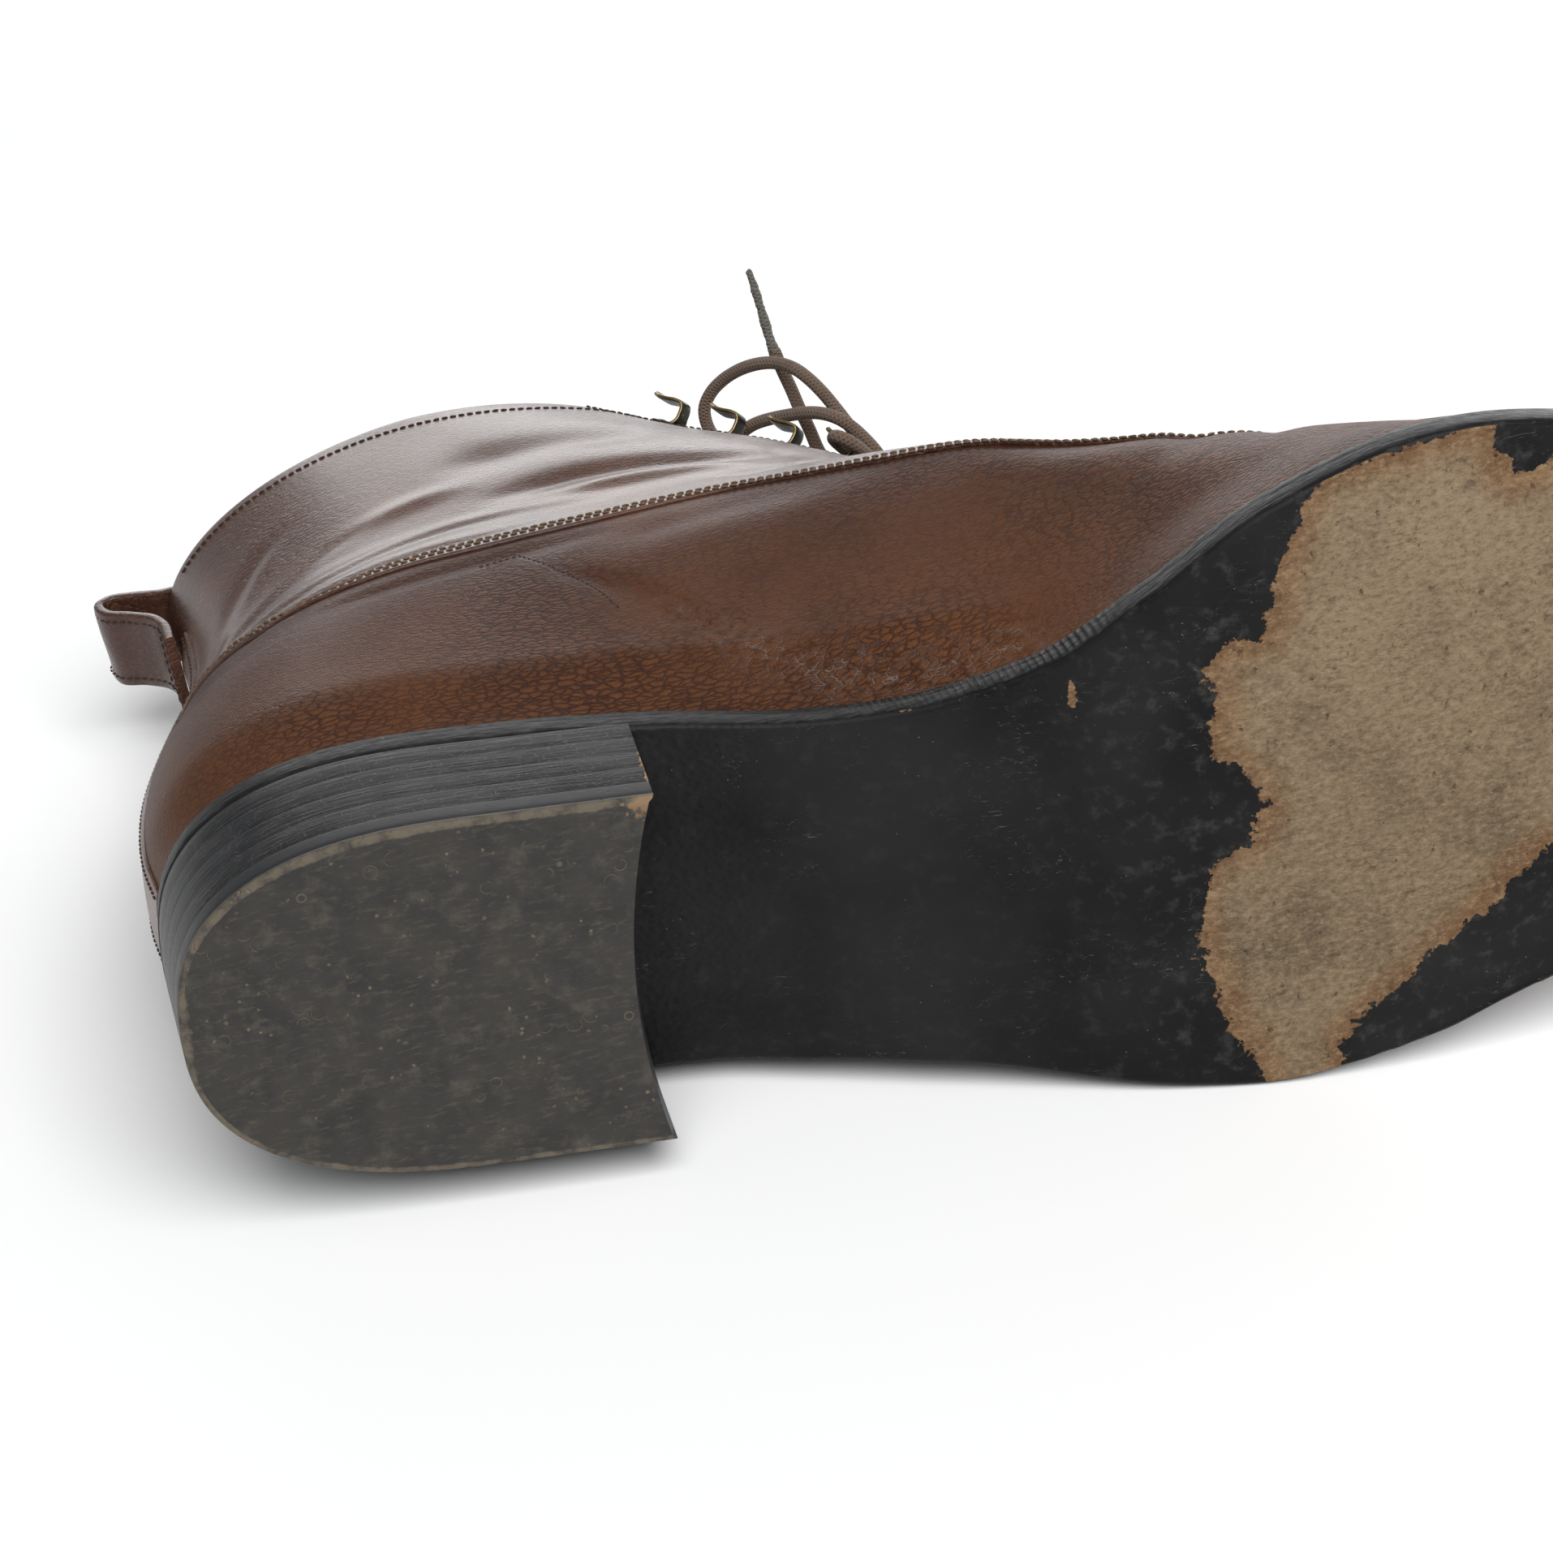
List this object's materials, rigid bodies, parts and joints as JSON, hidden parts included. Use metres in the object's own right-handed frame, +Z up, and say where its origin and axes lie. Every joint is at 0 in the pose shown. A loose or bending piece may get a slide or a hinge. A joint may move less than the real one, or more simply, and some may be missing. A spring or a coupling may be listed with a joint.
{
  "type": "lace-up ankle boot",
  "caption": "Left ankle boot in smooth leather with speed hooks, tongue, pull loop, welted leather sole and stacked block heel, lying on its outer side.",
  "frame": {"origin": "on the floor plane, under the middle of the lying boot's box without its free lace ends", "axes": "+X from heel to toe, +Y from the sole to the collar, +Z up from the floor to the inner side of the boot"},
  "size_m": [0.307, 0.1776, 0.1196],
  "materials": {
    "chestnut_leather": "grained, dull gloss",
    "tongue_leather": "soft, matte",
    "black_sole_leather": "waxed, worn through at the ball",
    "black_heel_leather": "waxed, layered",
    "insole_leather": "matte",
    "heel_rubber": "worn, speckled",
    "hook_metal": "darkened",
    "lace_cord": "waxed round cord",
    "lace_tip": "worn, frayed"
  },
  "bodies": {
    "root": {"upper": "chestnut_leather", "tongue": "tongue_leather", "outsole": "black_sole_leather", "welt": "black_sole_leather", "insole": "insole_leather", "heel_top_piece": "heel_rubber", "heel_lift_1": "black_heel_leather", "heel_lift_2": "black_heel_leather", "heel_lift_3": "black_heel_leather", "heel_lift_4": "black_heel_leather", "pull_loop": "chestnut_leather", "hook_inner_1": "hook_metal", "hook_outer_1": "hook_metal", "hook_inner_2": "hook_metal", "hook_outer_2": "hook_metal", "hook_inner_3": "hook_metal", "hook_outer_3": "hook_metal", "hook_inner_4": "hook_metal", "hook_outer_4": "hook_metal", "lace_crossings": "lace_cord", "lace_knot": "lace_cord", "lace_loop": "lace_cord", "lace_tail": "lace_cord", "lace_tip": "lace_tip", "lace_hidden_end": "lace_cord"}
  },
  "joints": []
}
